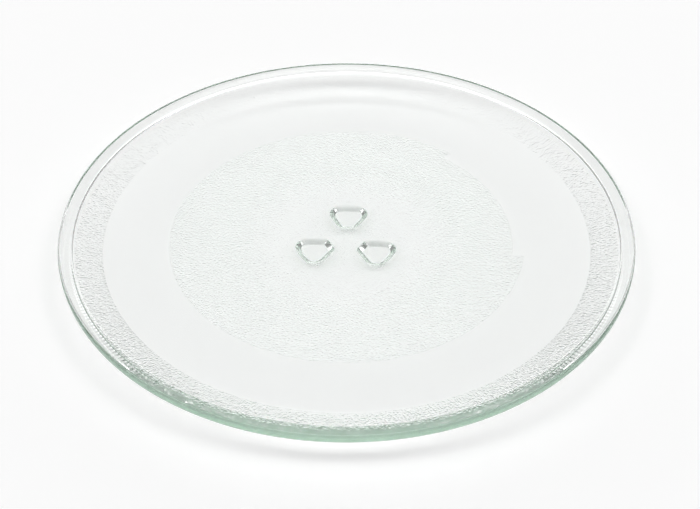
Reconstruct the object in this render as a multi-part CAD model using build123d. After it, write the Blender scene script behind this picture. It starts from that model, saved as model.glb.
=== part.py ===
"""Microwave turntable plate: one pressed-glass dish with three drive lugs under its middle.

Millimetres, +Z up. The origin is on the plate's axis, on the plane of the lug feet.
"""

from build123d import *
import math
import os

# Driving dimensions of the dish; widths are measured inwards from the plate's edge
plate_diameter = 245.0
base_thickness = 4.5
rim_height = 9.3  # from the flat underside to the top of the lip
edge_height = 3.7  # the upright outer edge, before it is rounded
underside_wall_width = 18.7  # the flat underside, on which the rollers run, ends here
underside_bulge = 0.4  # how far the wall's underside sags below a straight line
dish_wall_width = 17.5  # the flat food side ends here
lip_width = 6.3  # the flat-topped lip, up to the foot of its inner step
lip_step_height = 2.2
lip_draft_angle = 11.0
dish_bend_radius = 8.0
lip_inner_chamfer = 0.4
edge_top_radius = 1.3
edge_bottom_radius = 2.0

# Driving dimensions of the drive lugs, with their outline given at the foot
lug_count = 3
lug_height = 4.0
lug_inner_reach = 9.5  # from the plate's axis to the flat inner face
lug_outer_reach = 20.4
lug_inner_width = 4.9
lug_flare_angle = 28.5  # between each side and the lug's own radial line
lug_draft_angle = 28.0
lug_nose_radius = 0.9  # upright edges beside the inner face
lug_shoulder_radius = 3.4  # upright edges at the outer end
lug_foot_radius = 0.8
lug_root_radius = 0.8
first_lug_angle = 87.0


def dish():
    """The revolved dish: a flat base, a flared wall and a raised lip with an upright edge."""
    underside = lug_height
    food_side = underside + base_thickness
    lip_top = underside + rim_height
    plate_radius = plate_diameter / 2
    crease_x = plate_radius - lip_width
    lip_lean = lip_step_height * math.tan(math.radians(lip_draft_angle))

    axis_low = (0, underside)
    heel = (plate_radius - underside_wall_width, underside)
    edge_bottom = (plate_radius, lip_top - edge_height)
    edge_top = (plate_radius, lip_top)
    lip_inner = (crease_x + lip_lean, lip_top)
    crease = (crease_x, lip_top - lip_step_height)
    bend = (plate_radius - dish_wall_width, food_side)
    axis_high = (0, food_side)
    sag_x = (heel[0] + edge_bottom[0]) / 2
    sag_z = (heel[1] + edge_bottom[1]) / 2 - underside_bulge
    outline = [
        Polyline(axis_high, axis_low, heel),
        ThreePointArc(heel, (sag_x, sag_z), edge_bottom),
        Polyline(edge_bottom, edge_top, lip_inner, crease, bend, axis_high),
    ]
    section = make_face(outline)
    roundings = [
        (edge_bottom, edge_bottom_radius),
        (edge_top, edge_top_radius),
        (bend, dish_bend_radius),
    ]
    for point, radius in roundings:
        section = fillet(corner(section, point), radius)
    section = chamfer(corner(section, lip_inner), lip_inner_chamfer)
    return revolve(Plane.XZ * section, Axis.Z)


def corner(section, point):
    """The section's vertex at a point of its outline."""
    return section.vertices().sort_by_distance((*point, 0))[0]


def lug():
    """One drive lug on the +X side: a drafted keystone with its narrow end towards the axis."""
    flare = math.radians(lug_flare_angle)
    half_width = lug_inner_width / 2
    # Where a side that starts at the inner face meets the outer arc
    forward = lug_inner_reach * math.cos(flare) + half_width * math.sin(flare)
    reach = lug_outer_reach**2 - lug_inner_reach**2 - half_width**2
    side_length = math.sqrt(forward**2 + reach) - forward
    shoulder_x = lug_inner_reach + side_length * math.cos(flare)
    shoulder_y = half_width + side_length * math.sin(flare)

    noses = [(lug_inner_reach, -half_width), (lug_inner_reach, half_width)]
    shoulders = [(shoulder_x, shoulder_y), (shoulder_x, -shoulder_y)]
    outline = [
        Line(noses[0], noses[1]),
        Line(noses[1], shoulders[0]),
        ThreePointArc(shoulders[0], (lug_outer_reach, 0), shoulders[1]),
        Line(shoulders[1], noses[0]),
    ]
    foot = make_face(outline)
    foot = fillet([corner(foot, nose) for nose in noses], lug_nose_radius)
    foot = fillet([corner(foot, shoulder) for shoulder in shoulders], lug_shoulder_radius)
    body = extrude(foot, amount=lug_height, taper=-lug_draft_angle)
    foot_edges = body.faces().sort_by(Axis.Z)[0].edges()
    return fillet(foot_edges, min(lug_foot_radius, lug_nose_radius))


def turntable_plate():
    """The dish with its lugs, blended into one piece of glass."""
    plate = dish()
    one_lug = lug()
    for number in range(lug_count):
        turn = first_lug_angle + number * 360 / lug_count
        plate = plate + Rot(0, 0, turn) * one_lug
    lug_root_reach = lug_outer_reach + lug_height * math.tan(math.radians(lug_draft_angle))
    levels = plate.edges().group_by(Axis.Z)
    underside_edges = min(levels, key=lambda level: abs(level[0].center().Z - lug_height))
    root_edges = [
        edge
        for edge in underside_edges
        if math.hypot(edge.center().X, edge.center().Y) < lug_root_reach + lug_root_radius
    ]
    return fillet(root_edges, lug_root_radius)


os.makedirs("parts", exist_ok=True)
export_step(turntable_plate(), "parts/turntable_plate.step")
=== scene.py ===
import math

import bpy
import numpy as np
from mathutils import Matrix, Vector, geometry


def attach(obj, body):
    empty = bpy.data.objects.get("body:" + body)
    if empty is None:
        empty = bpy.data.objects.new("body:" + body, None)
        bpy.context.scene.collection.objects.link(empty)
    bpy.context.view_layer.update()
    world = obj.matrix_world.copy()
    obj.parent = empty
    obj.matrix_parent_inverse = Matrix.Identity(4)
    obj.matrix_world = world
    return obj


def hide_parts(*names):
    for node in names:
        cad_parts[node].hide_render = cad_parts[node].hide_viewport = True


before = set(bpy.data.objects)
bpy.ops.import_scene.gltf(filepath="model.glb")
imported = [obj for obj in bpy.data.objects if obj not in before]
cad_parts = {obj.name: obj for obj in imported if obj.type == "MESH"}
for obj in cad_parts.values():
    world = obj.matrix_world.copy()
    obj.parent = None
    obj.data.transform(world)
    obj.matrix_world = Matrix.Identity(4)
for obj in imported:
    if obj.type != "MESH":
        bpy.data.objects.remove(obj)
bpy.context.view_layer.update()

MM = 0.001

# Sizes of the plate, in millimetres and degrees, as the solid has them where nothing else is said
PLATE_RADIUS = 122.5
BASE_THICKNESS = 4.5
RIM_HEIGHT = 9.3  # top of the lip over the track
EDGE_HEIGHT = 3.7
HEEL_RADIUS = 103.8  # outer edge of the flat underside
UNDER_BULGE = 0.4  # sag of the wall's underside below a straight line
BEND_RADIUS = 105.0  # outer edge of the flat food side
LIP_INNER = 116.2  # foot of the step up to the lip
LIP_STEP = 2.2
LIP_LEAN = 0.43
BEND_ROUND = 8.0
CREASE_ROUND = 0.35  # softens the solid's sharp crease
LIP_ROUND = 0.5  # in place of the solid's small chamfer
EDGE_ROUND = 1.3
UNDER_ROUND = 2.0
LUG_COUNT = 3
FIRST_LUG_ANGLE = 87.0
LUG_HEIGHT = 4.0
LUG_INNER = 9.5  # at the foot
LUG_OUTER = 20.4
LUG_INNER_WIDTH = 4.9
LUG_FLARE = 28.5
LUG_DRAFT = 28.0
LUG_NOSE = 0.9
LUG_SHOULDER = 3.4
LUG_FOOT_ROUND = 0.8
LUG_ROOT_ROUND = 0.8

# Texture of the underside, in millimetres and degrees
DISC_RADIUS = 76.4
DISC_RELIEF = 0.02  # the stippled disc stands a little proud of the track
RELIEF_RAMP = 0.25  # width of the small step round the disc and at the bare strip
STRIP_INNER = 71.2  # bare strip inside the edge of the disc
STRIP_FROM = -8.0
STRIP_TO = 52.0
RIB_INNER = 117.0  # a shallow band with short radial ribs is pressed into the underside of the lip
RIB_OUTER = 119.9
RIB_INNER_RAMP = 0.2  # width of its steep inner flank
RIB_OUTER_RAMP = 1.7
RIB_STEP = 0.05  # depth of the band
RIB_HEIGHT = 0.06  # at the inner end of each rib
RIB_HEAD_LENGTH = 0.15  # over which a rib keeps this height
RIB_TAIL = 0.02  # height further out
RIB_TAIL_START = 0.7  # from the same inner end

# Stipple: full on the wall, nearly full on the disc, half round the lugs and slight under the lip
STIPPLE_FADE = (115.8, 117.0)  # radii between which the wall's stipple turns to that of the lip
LIP_SHARE = 0.1
DISC_SHARE = 0.95
HUB_SHARE = 0.5
HUB_RADIUS = 27.0  # the middle with the lugs
HUB_FADE = 20.0  # over this width the hub's stipple grows to that of the disc
GRAIN_STRETCH = 0.5  # below 1, the wall's stipple is longer along the radius
CELLS_PER_METRE = 2000
STIPPLE_DEPTH = 0.00013  # metres
DOME_POWER = 2.0  # each cell is a round dome

# Facets of the mesh, with their gaps in millimetres
ROUND_SEGMENTS = 360
RIB_SEGMENTS = 6  # of each rib, one rib to a round segment
WALL_RINGS = 14
TRACK_RINGS = 8
DISC_RINGS = 24
LUG_OUTER_STEPS = 8  # half of the lug's outer arc
LUG_SHOULDER_STEPS = 12
LUG_SIDE_STEPS = 7
LUG_NOSE_STEPS = 8
LUG_INNER_STEPS = 3  # half of its inner face
LUG_ROOT_STEPS = 4
LUG_DRAFT_STEPS = 3
LUG_FOOT_STEPS = 6
CORNER_STEP = 7.0  # degrees of a rounded corner to one facet
CORNER_LEAST = 4
STRETCH_SHARES = (0.06, 0.35, 0.65, 0.94)  # where a straight stretch is divided
FLAT_MARGIN = 3.0  # of the food side's flat, inside its bend
SLOPE_END = 120.4  # last point of the section over the lip, just outside the ribs
RIB_GAP = 0.2
HEEL_GAP = 0.6
STRIP_GAP = 2.0
HUB_GRID = 1.5
HUB_RIM_GAP = 0.8
HUB_LUG_GAP = 0.7
WELD_GAP = 1e-6
SHARP_ANGLE = 35.0  # degrees

# Glass, with its tint per metre
GLASS_INDEX = 1.52
TINT = (0.2, 0.7, 0.375, 1)
TINT_DENSITY = 3.2

# Table, in metres
FLOOR_HEIGHT = -0.00005  # just under the lugs
FLOOR_HALF = 4.0
FLOOR_COLOUR = (0.9, 0.9, 0.9, 1)
SEEN_GLOW = 0.16  # where the table is seen directly
GLASS_GLOW = 0.12  # where it is seen through the glass or mirrored in it

# Light of the studio: for each height of a direction, pairs of its depth and the light's level there;
# the depth goes from -1 at the camera's side to 1 at the back
LIGHT = (
    (0.06, ((-1.0, 0.25), (0.0, 0.25), (0.6, 0.7), (1.0, 4.4))),
    (0.18, ((-1.0, 0.25), (0.0, 0.25), (0.6, 0.7), (1.0, 4.4))),
    (0.26, ((-1.0, 0.25), (0.0, 0.3), (1.0, 0.9))),
    (0.38, ((-0.9, 0.25), (-0.3, 0.15), (0.0, 0.8), (0.3, 0.15), (0.9, 0.9))),
    (0.65, ((-0.75, 0.25), (-0.3, 0.15), (0.0, 3.3), (0.3, 0.15), (0.75, 0.45))),
    (0.90, ((-0.4, 0.55), (-0.14, 2.25), (0.0, 2.45), (0.14, 1.55), (0.4, 0.55))),
)

# Camera, in metres and degrees, with its lens and sensor in millimetres
CAMERA_LENS = 86.71
SENSOR_WIDTH = 36.0
CAMERA_ELEVATION = 40.95
CAMERA_DISTANCE = 0.72
CAMERA_AIM = (0.00147, -0.00817)  # a point on the track's plane


class Glass:
    """Collects the vertices and faces of one closed mesh, and the stipple at its vertices."""

    def __init__(self):
        self.vertices = []
        self.faces = []
        self.stipple = {}

    def ring(self, points, amounts=()):
        """Adds a ring of points, with their shares of stipple where they have any."""
        first = len(self.vertices)
        self.vertices += [tuple(p) for p in points]
        indices = list(range(first, len(self.vertices)))
        self.stipple.update(zip(indices, amounts))
        return indices

    def join_all(self, rings):
        for ring_a, ring_b in zip(rings, rings[1:]):
            self.join(ring_a, ring_b)

    def join(self, ring_a, ring_b):
        """Quads between two rings of the same count, or fans where one has several times as many."""
        if len(ring_a) < len(ring_b):
            self.fan(ring_a, ring_b, False)
        elif len(ring_a) > len(ring_b):
            self.fan(ring_b, ring_a, True)
        else:
            n = len(ring_a)
            for i in range(n):
                j = (i + 1) % n
                self.faces.append((ring_a[i], ring_b[i], ring_b[j], ring_a[j]))

    def fan(self, coarse, fine, flip):
        """Triangles from each point of a coarse ring to its share of a fine ring."""
        times = len(fine) // len(coarse)
        half = times // 2
        n = len(fine)
        for i, corner in enumerate(coarse):
            following = coarse[(i + 1) % len(coarse)]
            for k in range(times):
                a = fine[(i * times + k) % n]
                b = fine[(i * times + k + 1) % n]
                pivot = corner if k <= half else following
                self.triangle((pivot, a, b), flip)
                if k == half:
                    self.triangle((corner, b, following), flip)

    def triangle(self, face, flip):
        self.faces.append(face[::-1] if flip else face)


def circle(radius, height, count):
    angles = np.arange(count) * (2 * math.pi / count)
    return np.c_[radius * np.cos(angles), radius * np.sin(angles), np.full(count, height)]


def arc(center, radius, start, end, steps):
    """Points of an arc with their outward directions."""
    outward = [Vector((math.cos(a), math.sin(a))) for a in np.linspace(start, end, steps + 1)]
    return [(center + direction * radius, direction) for direction in outward]


def between(start, end, steps):
    """Points that divide a straight stretch into equal steps, without its ends."""
    return [start.lerp(end, k / steps) for k in range(1, steps)]


def slope_point(radius):
    """A point of the wall's underside, as radius and height."""
    share = (radius - HEEL_RADIUS) / (PLATE_RADIUS - HEEL_RADIUS)
    sag = 4 * UNDER_BULGE * share * (1 - share)
    return (radius, LUG_HEIGHT + share * (RIM_HEIGHT - EDGE_HEIGHT) - sag)


def upper_section():
    """Section from the flat food side out over the lip and round the edge to the lip's underside."""
    food_side = LUG_HEIGHT + BASE_THICKNESS
    top = LUG_HEIGHT + RIM_HEIGHT
    points = [
        (BEND_RADIUS - FLAT_MARGIN, food_side),
        (BEND_RADIUS, food_side),
        (LIP_INNER, top - LIP_STEP),
        (LIP_INNER + LIP_LEAN, top),
        (PLATE_RADIUS, top),
        slope_point(PLATE_RADIUS),
        slope_point(SLOPE_END),
    ]
    return rounded(points, (BEND_ROUND, CREASE_ROUND, LIP_ROUND, EDGE_ROUND, UNDER_ROUND))


def rounded(points, radii):
    """An open chain of straight stretches whose inner corners are rounded."""
    chain = [Vector(points[0])]
    for before, corner, after, radius in zip(points, points[1:], points[2:], radii):
        corner = Vector(corner)
        back = (Vector(before) - corner).normalized()
        ahead = (Vector(after) - corner).normalized()
        half = back.angle(ahead) / 2
        center = corner + (back + ahead).normalized() * (radius / math.sin(half))
        start = corner + back * (radius / math.tan(half)) - center
        turn = (math.pi - 2 * half) * math.copysign(1, ahead.cross(back))
        steps = max(CORNER_LEAST, math.ceil(math.degrees(abs(turn)) / CORNER_STEP))
        first = math.atan2(start.y, start.x)
        chain += straight(chain[-1], center + start)
        chain += [point for point, _ in arc(center, radius, first, first + turn, steps)]
    end = Vector(points[-1])
    return chain + straight(chain[-1], end) + [end]


def straight(start, end):
    """Points inside a straight stretch, close to its ends and in its middle."""
    return [start.lerp(end, share) for share in STRETCH_SHARES]


def rib_rings(glass):
    """Rings of the ribbed band under the lip, from its outer to its inner end."""
    head = RIB_INNER + RIB_INNER_RAMP
    rings = (
        (RIB_OUTER, 0, RIB_TAIL),
        (RIB_OUTER - RIB_OUTER_RAMP, 1, RIB_TAIL),
        (head + RIB_TAIL_START, 1, RIB_TAIL),
        (head + RIB_HEAD_LENGTH, 1, RIB_HEIGHT),
        (head, 1, RIB_HEIGHT),
        (RIB_INNER, 0, RIB_HEIGHT),
    )
    return [glass.ring(rib_ring(*ring)) for ring in rings]


def rib_ring(radius, share, height):
    """A ring of points across the ribs, which are pressed a little into the slope."""
    r, z = slope_point(radius)
    count = ROUND_SEGMENTS * RIB_SEGMENTS
    wave = 0.5 - 0.5 * np.cos(np.arange(count) * (2 * math.pi / RIB_SEGMENTS))
    rise = RIB_STEP + height * wave
    step = 0.1
    ahead = slope_point(radius + step)
    slope = math.atan2(ahead[1] - z, step)
    points = circle(1.0, 0.0, count)
    points[:, :2] *= (r - share * rise * math.sin(slope))[:, None]
    points[:, 2] = z + share * rise * math.cos(slope)
    return points


def wall_rings(glass):
    """Rings of the stippled wall, from the ribs in to the track."""
    rings = []
    for radius in np.linspace(RIB_INNER - RIB_GAP, HEEL_RADIUS + HEEL_GAP, WALL_RINGS):
        amount = np.interp(radius, STIPPLE_FADE, (1.0, LIP_SHARE))
        points = circle(*slope_point(radius), ROUND_SEGMENTS)
        rings.append(glass.ring(points, [amount] * ROUND_SEGMENTS))
    return rings


def track_rings(glass):
    """Rings of the smooth roller track."""
    radii = np.linspace(HEEL_RADIUS, DISC_RADIUS, TRACK_RINGS)
    return [glass.ring(circle(radius, LUG_HEIGHT, ROUND_SEGMENTS)) for radius in radii]


def disc_rings(glass):
    """Rings of the stippled disc with its bare strip, from its edge to the hub."""
    rings = []
    edge = (DISC_RADIUS - RELIEF_RAMP, DISC_RADIUS - 4 * RELIEF_RAMP)
    strip = (STRIP_INNER + RELIEF_RAMP, STRIP_INNER)
    field = np.linspace(STRIP_INNER - STRIP_GAP, HUB_RADIUS, DISC_RINGS)
    for radius in (*edge, *strip, *field):
        azimuths = np.arange(ROUND_SEGMENTS) * 360 / ROUND_SEGMENTS
        amounts = [disc_stipple(radius, azimuth) for azimuth in azimuths]
        points = circle(radius, LUG_HEIGHT, ROUND_SEGMENTS)
        points[:, 2] -= DISC_RELIEF * np.minimum(1, np.array(amounts) / HUB_SHARE)
        rings.append(glass.ring(points, amounts))
    return rings


def disc_stipple(radius, azimuth):
    """The share of stipple at a place of the disc: none on the bare strip, less towards the hub."""
    in_strip = (azimuth - STRIP_FROM) % 360 < STRIP_TO - STRIP_FROM
    if in_strip and radius > STRIP_INNER:
        return 0.0
    share = min(1.0, (radius - HUB_RADIUS) / HUB_FADE)
    return HUB_SHARE + (DISC_SHARE - HUB_SHARE) * share


def add_lugs(glass):
    """Adds the drive lugs and gives the rings of their roots."""
    outline = keystone()
    levels = lug_levels()
    roots = []
    for number in range(LUG_COUNT):
        turn = math.radians(FIRST_LUG_ANGLE + number * 360 / LUG_COUNT)
        c, s = math.cos(turn), math.sin(turn)
        rings = []
        for out, height in levels:
            spread = [point + outward * out for point, outward in outline]
            turned = [(p.x * c - p.y * s, p.x * s + p.y * c, height) for p in spread]
            rings.append(glass.ring(turned))
        glass.join_all(rings)
        glass.faces.append(tuple(rings[-1][::-1]))
        roots.append(rings[0])
    return roots


def keystone():
    """The lug's outline at its foot, on the +X side: points with their outward directions."""
    flare = math.radians(LUG_FLARE)
    along = Vector((math.cos(flare), math.sin(flare)))
    side_out = Vector((-math.sin(flare), math.cos(flare)))
    inner_out = Vector((-1, 0))
    nose = Vector((LUG_INNER, LUG_INNER_WIDTH / 2))
    nose_center = corner_center(nose, inner_out, side_out, LUG_NOSE)
    # The shoulder's rounding touches the side and, from inside, the outer arc
    inset = nose - side_out * LUG_SHOULDER
    reach = (LUG_OUTER - LUG_SHOULDER)**2 - inset.length_squared
    forward = inset.dot(along)
    shoulder_center = inset + along * (math.sqrt(forward**2 + reach) - forward)

    outer_turn = math.atan2(shoulder_center.y, shoulder_center.x)
    side_turn = math.pi / 2 + flare
    points = arc(Vector((0, 0)), LUG_OUTER, 0, outer_turn, LUG_OUTER_STEPS)
    points += arc(shoulder_center, LUG_SHOULDER, outer_turn, side_turn, LUG_SHOULDER_STEPS)
    side_end = nose_center + side_out * LUG_NOSE
    points += [(p, side_out) for p in between(points[-1][0], side_end, LUG_SIDE_STEPS)]
    points += arc(nose_center, LUG_NOSE, side_turn, math.pi, LUG_NOSE_STEPS)
    middle = Vector((LUG_INNER, 0))
    points += [(p, inner_out) for p in between(points[-1][0], middle, LUG_INNER_STEPS)]
    points.append((middle, inner_out))
    mirrored = [(Vector((p.x, -p.y)), Vector((d.x, -d.y))) for p, d in points[1:-1]]
    return points + mirrored[::-1]


def corner_center(corner, out_a, out_b, radius):
    """Centre of a rounding that touches the two straight sides that meet at a corner."""
    middle = (out_a + out_b).normalized()
    return corner - middle * (radius / middle.dot(out_a))


def lug_levels():
    """Rings of a lug from root to foot: how far out of the foot's outline, and how high."""
    draft = math.radians(LUG_DRAFT)
    turn = math.pi / 2 - draft
    root_out = LUG_HEIGHT * math.tan(draft) + LUG_ROOT_ROUND * math.tan(turn / 2)
    root_center = Vector((root_out, LUG_HEIGHT - DISC_RELIEF - LUG_ROOT_ROUND))
    foot_center = Vector((-LUG_FOOT_ROUND * math.tan(turn / 2), LUG_FOOT_ROUND))
    root_arc = arc(root_center, LUG_ROOT_ROUND, math.pi / 2, math.pi / 2 + turn, LUG_ROOT_STEPS)
    foot_arc = arc(foot_center, LUG_FOOT_ROUND, -draft, -math.pi / 2, LUG_FOOT_STEPS)
    root = [point for point, _ in root_arc]
    foot = [point for point, _ in foot_arc]
    return root + between(root[-1], foot[0], LUG_DRAFT_STEPS) + foot


def fill_hub(glass, rim, roots):
    """Triangles between the innermost ring and the roots of the lugs, with a grid of points."""
    loops = [rim] + roots
    fixed = [i for loop in loops for i in loop]
    flat = [Vector(glass.vertices[i][:2]) for i in fixed]
    edges = []
    for loop in loops:
        start = len(edges)
        edges += [(start + k, start + (k + 1) % len(loop)) for k in range(len(loop))]
    outlines = [[glass.vertices[i][:2] for i in loop] for loop in roots]
    steps = np.arange(-HUB_RADIUS, HUB_RADIUS, HUB_GRID)
    for x in steps:
        for y in steps:
            in_rim = math.hypot(x, y) < HUB_RADIUS - HUB_RIM_GAP
            if in_rim and not any(near(x, y, outline) for outline in outlines):
                flat.append(Vector((x, y)))
    places, _, triangles, sources, _, _ = geometry.delaunay_2d_cdt(flat, edges, [], 0, WELD_GAP)
    index = []
    for place, source in zip(places, sources):
        first = min(source)
        if first < len(fixed):
            index.append(fixed[first])
        else:
            index += glass.ring([(place.x, place.y, LUG_HEIGHT - DISC_RELIEF)], [HUB_SHARE])
    for corners in triangles:
        middle = sum((places[i] for i in corners), Vector((0, 0))) / 3
        if not any(inside(middle.x, middle.y, outline) for outline in outlines):
            glass.faces.append(tuple(index[i] for i in reversed(corners)))


def inside(x, y, outline):
    """Whether a point lies inside a closed outline."""
    hit = False
    for (xa, ya), (xb, yb) in zip(outline, outline[1:] + outline[:1]):
        if (ya > y) != (yb > y) and x < (xb - xa) * (y - ya) / (yb - ya) + xa:
            hit = not hit
    return hit


def near(x, y, outline):
    """Whether a point lies inside an outline or close to one of its points."""
    if inside(x, y, outline):
        return True
    return min(math.hypot(x - px, y - py) for px, py in outline) < HUB_LUG_GAP


def plate_mesh():
    """The whole plate: rings from the food side round the edge to the hub, then the lugs."""
    glass = Glass()
    rings = [glass.ring(circle(r, z, ROUND_SEGMENTS)) for r, z in upper_section()]
    glass.faces.append(tuple(rings[0]))
    rings += rib_rings(glass)
    rings += wall_rings(glass)
    rings += track_rings(glass)
    rings += disc_rings(glass)
    glass.join_all(rings)
    roots = add_lugs(glass)
    fill_hub(glass, rings[-1], roots)
    return glass


def make_object(name, glass):
    mesh = bpy.data.meshes.new(name)
    mesh.from_pydata([tuple(c * MM for c in v) for v in glass.vertices], [], glass.faces)
    mesh.validate()
    stipple = mesh.attributes.new("stipple", "FLOAT", "POINT")
    for i, amount in glass.stipple.items():
        stipple.data[i].value = amount
    mesh.shade_smooth()
    mesh.set_sharp_from_angle(angle=math.radians(SHARP_ANGLE))
    obj = bpy.data.objects.new(name, mesh)
    bpy.context.scene.collection.objects.link(obj)
    return obj


def math_node(tree, operation, *values):
    """The output of a Math node whose inputs are numbers or outputs of other nodes."""
    node = tree.nodes.new("ShaderNodeMath")
    node.operation = operation
    for socket, value in zip(node.inputs, values):
        if isinstance(value, bpy.types.NodeSocket):
            tree.links.new(value, socket)
        else:
            socket.default_value = value
    return node.outputs[0]


def map_range(tree, value, low, high):
    """An output that goes from 0 to 1 while a value goes from low to high."""
    node = tree.nodes.new("ShaderNodeMapRange")
    node.inputs["From Min"].default_value = low
    node.inputs["From Max"].default_value = high
    tree.links.new(value, node.inputs["Value"])
    return node.outputs["Result"]


def glass_material():
    """Clear glass with a faint green tint, stippled where the mesh says so."""
    material = bpy.data.materials.new("pressed_glass")
    material.use_nodes = True
    tree = material.node_tree
    shader = tree.nodes["Principled BSDF"]
    shader.inputs["Base Color"].default_value = (1, 1, 1, 1)
    shader.inputs["Roughness"].default_value = 0.0
    shader.inputs["IOR"].default_value = GLASS_INDEX
    shader.inputs["Transmission Weight"].default_value = 1.0
    tree.links.new(stipple_normal(tree), shader.inputs["Normal"])
    volume = tree.nodes.new("ShaderNodeVolumeAbsorption")
    volume.inputs["Color"].default_value = TINT
    volume.inputs["Density"].default_value = TINT_DENSITY
    tree.links.new(volume.outputs["Volume"], tree.nodes["Material Output"].inputs["Volume"])
    return material


def stipple_normal(tree):
    """The normal of small domes, as strong as the mesh's stipple attribute."""
    place = tree.nodes.new("ShaderNodeTexCoord").outputs["Object"]
    cells = tree.nodes.new("ShaderNodeTexVoronoi")
    cells.inputs["Scale"].default_value = CELLS_PER_METRE
    tree.links.new(wall_grain(tree, place), cells.inputs["Vector"])
    dome = math_node(tree, "POWER", cells.outputs["Distance"], DOME_POWER)
    share = tree.nodes.new("ShaderNodeAttribute")
    share.attribute_name = "stipple"
    bump = tree.nodes.new("ShaderNodeBump")
    bump.invert = True
    bump.inputs["Distance"].default_value = STIPPLE_DEPTH
    tree.links.new(dome, bump.inputs["Height"])
    tree.links.new(share.outputs["Fac"], bump.inputs["Strength"])
    return bump.outputs["Normal"]


def wall_grain(tree, place):
    """Texture coordinates: plain on the disc, drawn out along the radius on the wall."""
    split = tree.nodes.new("ShaderNodeSeparateXYZ")
    tree.links.new(place, split.inputs[0])
    length = tree.nodes.new("ShaderNodeVectorMath")
    length.operation = "LENGTH"
    tree.links.new(place, length.inputs[0])
    radius = length.outputs["Value"]
    angle = math_node(tree, "ARCTAN2", split.outputs["Y"], split.outputs["X"])
    around = math_node(tree, "MULTIPLY", angle, HEEL_RADIUS * MM)
    along = math_node(tree, "MULTIPLY", radius, GRAIN_STRETCH)
    polar = tree.nodes.new("ShaderNodeCombineXYZ")
    tree.links.new(around, polar.inputs["X"])
    tree.links.new(along, polar.inputs["Y"])
    mid_track = (DISC_RADIUS + HEEL_RADIUS) / 2 * MM
    on_wall = math_node(tree, "GREATER_THAN", radius, mid_track)
    # The numbered sockets are the Mix node's two vectors and its vector result
    choice = tree.nodes.new("ShaderNodeMix")
    choice.data_type = "VECTOR"
    tree.links.new(on_wall, choice.inputs["Factor"])
    tree.links.new(place, choice.inputs[4])
    tree.links.new(polar.outputs["Vector"], choice.inputs[5])
    return choice.outputs[1]


def floor_material():
    """A white table that glows a little where it is seen: directly, through the glass or in it."""
    material = bpy.data.materials.new("studio_floor")
    material.use_nodes = True
    tree = material.node_tree
    shader = tree.nodes["Principled BSDF"]
    shader.inputs["Base Color"].default_value = FLOOR_COLOUR
    shader.inputs["Roughness"].default_value = 1.0
    shader.inputs["Specular IOR Level"].default_value = 0.0
    shader.inputs["Emission Color"].default_value = (1, 1, 1, 1)
    rays = tree.nodes.new("ShaderNodeLightPath").outputs
    direct = math_node(tree, "MULTIPLY", rays["Is Camera Ray"], SEEN_GLOW)
    by_glass = math_node(tree, "MAXIMUM", rays["Is Transmission Ray"], rays["Is Glossy Ray"])
    glow = math_node(tree, "MULTIPLY_ADD", by_glass, GLASS_GLOW, direct)
    tree.links.new(glow, shader.inputs["Emission Strength"])
    return material


def build_floor():
    mesh = bpy.data.meshes.new("studio_floor")
    sides = ((-1, -1), (1, -1), (1, 1), (-1, 1))
    corners = [(x * FLOOR_HALF, y * FLOOR_HALF, FLOOR_HEIGHT) for x, y in sides]
    mesh.from_pydata(corners, [], [(0, 1, 2, 3)])
    mesh.materials.append(floor_material())
    floor = bpy.data.objects.new("studio_floor", mesh)
    bpy.context.scene.collection.objects.link(floor)


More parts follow.
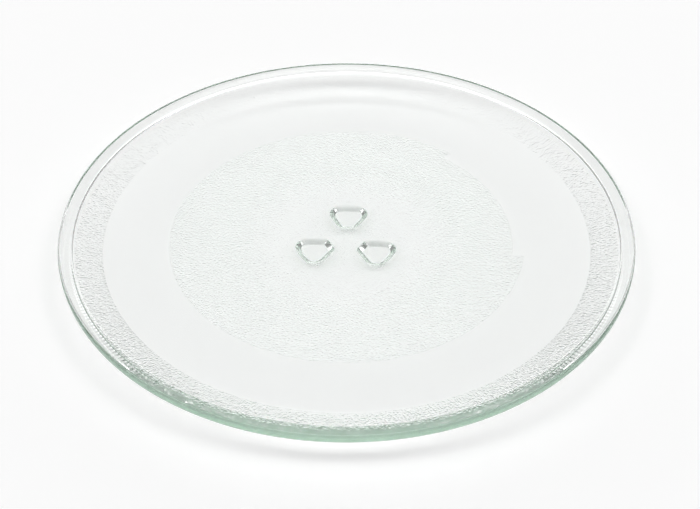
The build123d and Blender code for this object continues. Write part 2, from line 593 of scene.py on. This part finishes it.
def build_light():
    """The studio's light as a sky: a ramp of levels for each height, blended from low to high."""
    world = bpy.data.worlds.new("studio")
    bpy.context.scene.world = world
    world.use_nodes = True
    tree = world.node_tree
    coords = tree.nodes.new("ShaderNodeTexCoord")
    split = tree.nodes.new("ShaderNodeSeparateXYZ")
    tree.links.new(coords.outputs["Generated"], split.inputs[0])
    depth = map_range(tree, split.outputs["Y"], -1.0, 1.0)
    ramps = [level_ramp(tree, depth, levels) for _, levels in LIGHT]
    heights = [height for height, _ in LIGHT]
    sky = ramps[0]
    for lower, upper, ramp in zip(heights, heights[1:], ramps[1:]):
        # The numbered sockets are the Mix node's two colours and its colour result
        blend = tree.nodes.new("ShaderNodeMix")
        blend.data_type = "RGBA"
        rise = map_range(tree, split.outputs["Z"], lower, upper)
        tree.links.new(rise, blend.inputs["Factor"])
        tree.links.new(sky, blend.inputs[6])
        tree.links.new(ramp, blend.inputs[7])
        sky = blend.outputs[2]
    background = tree.nodes["Background"]
    background.inputs["Strength"].default_value = 1.0
    tree.links.new(sky, background.inputs["Color"])


def level_ramp(tree, depth, levels):
    """A ramp of grey levels from the camera's side to the back."""
    ramp = tree.nodes.new("ShaderNodeValToRGB")
    elements = ramp.color_ramp.elements
    for end in (0, -1):
        place, level = levels[end]
        elements[end].position = (place + 1) / 2
        elements[end].color = (level, level, level, 1)
    for place, level in levels[1:-1]:
        elements.new((place + 1) / 2).color = (level, level, level, 1)
    tree.links.new(depth, ramp.inputs["Fac"])
    return ramp.outputs["Color"]


def build_camera():
    data = bpy.data.cameras.new("camera")
    data.lens = CAMERA_LENS
    data.sensor_width = SENSOR_WIDTH
    camera = bpy.data.objects.new("camera", data)
    bpy.context.scene.collection.objects.link(camera)
    elevation = math.radians(CAMERA_ELEVATION)
    target = Vector((*CAMERA_AIM, LUG_HEIGHT * MM))
    towards_camera = Vector((0, -math.cos(elevation), math.sin(elevation)))
    camera.location = target + towards_camera * CAMERA_DISTANCE
    camera.rotation_euler = (target - camera.location).to_track_quat("-Z", "Y").to_euler()
    bpy.context.scene.camera = camera


plate = make_object("plate_glass", plate_mesh())
plate.data.materials.append(glass_material())
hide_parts("turntable_plate")
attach(plate, "root")
build_floor()
build_light()
build_camera()

scene = bpy.context.scene
scene.view_settings.view_transform = "Standard"
# Light passes many faces of clear glass
scene.cycles.max_bounces = 32
scene.cycles.transmission_bounces = 32
scene.cycles.glossy_bounces = 16
scene.cycles.blur_glossy = 0.0
